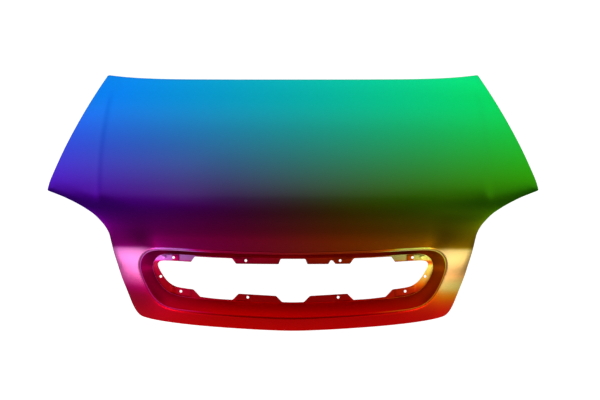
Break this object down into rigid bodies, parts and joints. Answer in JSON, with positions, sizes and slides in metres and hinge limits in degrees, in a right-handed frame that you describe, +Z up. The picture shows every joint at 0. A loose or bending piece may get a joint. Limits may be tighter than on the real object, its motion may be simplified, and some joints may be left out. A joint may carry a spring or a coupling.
{
  "type": "car bonnet",
  "caption": "Pressed steel car bonnet with a curved nose, flared side tips and a recessed grille opening, hemmed round an inner frame with hinge pads and a latch striker.",
  "frame": {"origin": "midway between the two hinge pads, on the car's centre plane, in the mounted and closed position", "axes": "+X towards the car's left, +Y towards the windscreen, +Z up; the nose faces -Y"},
  "size_m": [1.511, 0.6643, 0.5521],
  "materials": {
    "skin_paint": "satin-gloss metallic paint, its colour running from blue, cyan and green at the rear through a dark middle to red and gold at the nose",
    "frame_paint": "the skin's paint, thinner and less glossy",
    "zinc_steel": "zinc-plated",
    "weld_nut_steel": "plain, slightly oxidised",
    "mastic": "cured anti-flutter mastic, matte"
  },
  "bodies": {
    "root": {"outer_skin": "skin_paint", "inner_frame": "frame_paint", "hinge_reinforcement_left": "zinc_steel", "hinge_weld_nut_left_inner": "weld_nut_steel", "hinge_weld_nut_left_outer": "weld_nut_steel", "hinge_reinforcement_right": "zinc_steel", "hinge_weld_nut_right_inner": "weld_nut_steel", "hinge_weld_nut_right_outer": "weld_nut_steel", "striker_bracket": "zinc_steel", "striker_screw_left": "zinc_steel", "striker_screw_right": "zinc_steel", "striker_loop": "zinc_steel", "mastic_pad_rear_middle": "mastic", "mastic_pad_front_middle": "mastic", "mastic_pad_middle_left": "mastic", "mastic_pad_middle_right": "mastic", "mastic_pad_rear_left": "mastic", "mastic_pad_rear_right": "mastic", "mastic_pad_cross_left": "mastic", "mastic_pad_cross_right": "mastic", "mastic_pad_outer_left": "mastic", "mastic_pad_outer_right": "mastic", "mastic_pad_side_left": "mastic", "mastic_pad_side_right": "mastic", "mastic_pad_front_left": "mastic", "mastic_pad_front_right": "mastic"}
  },
  "joints": []
}
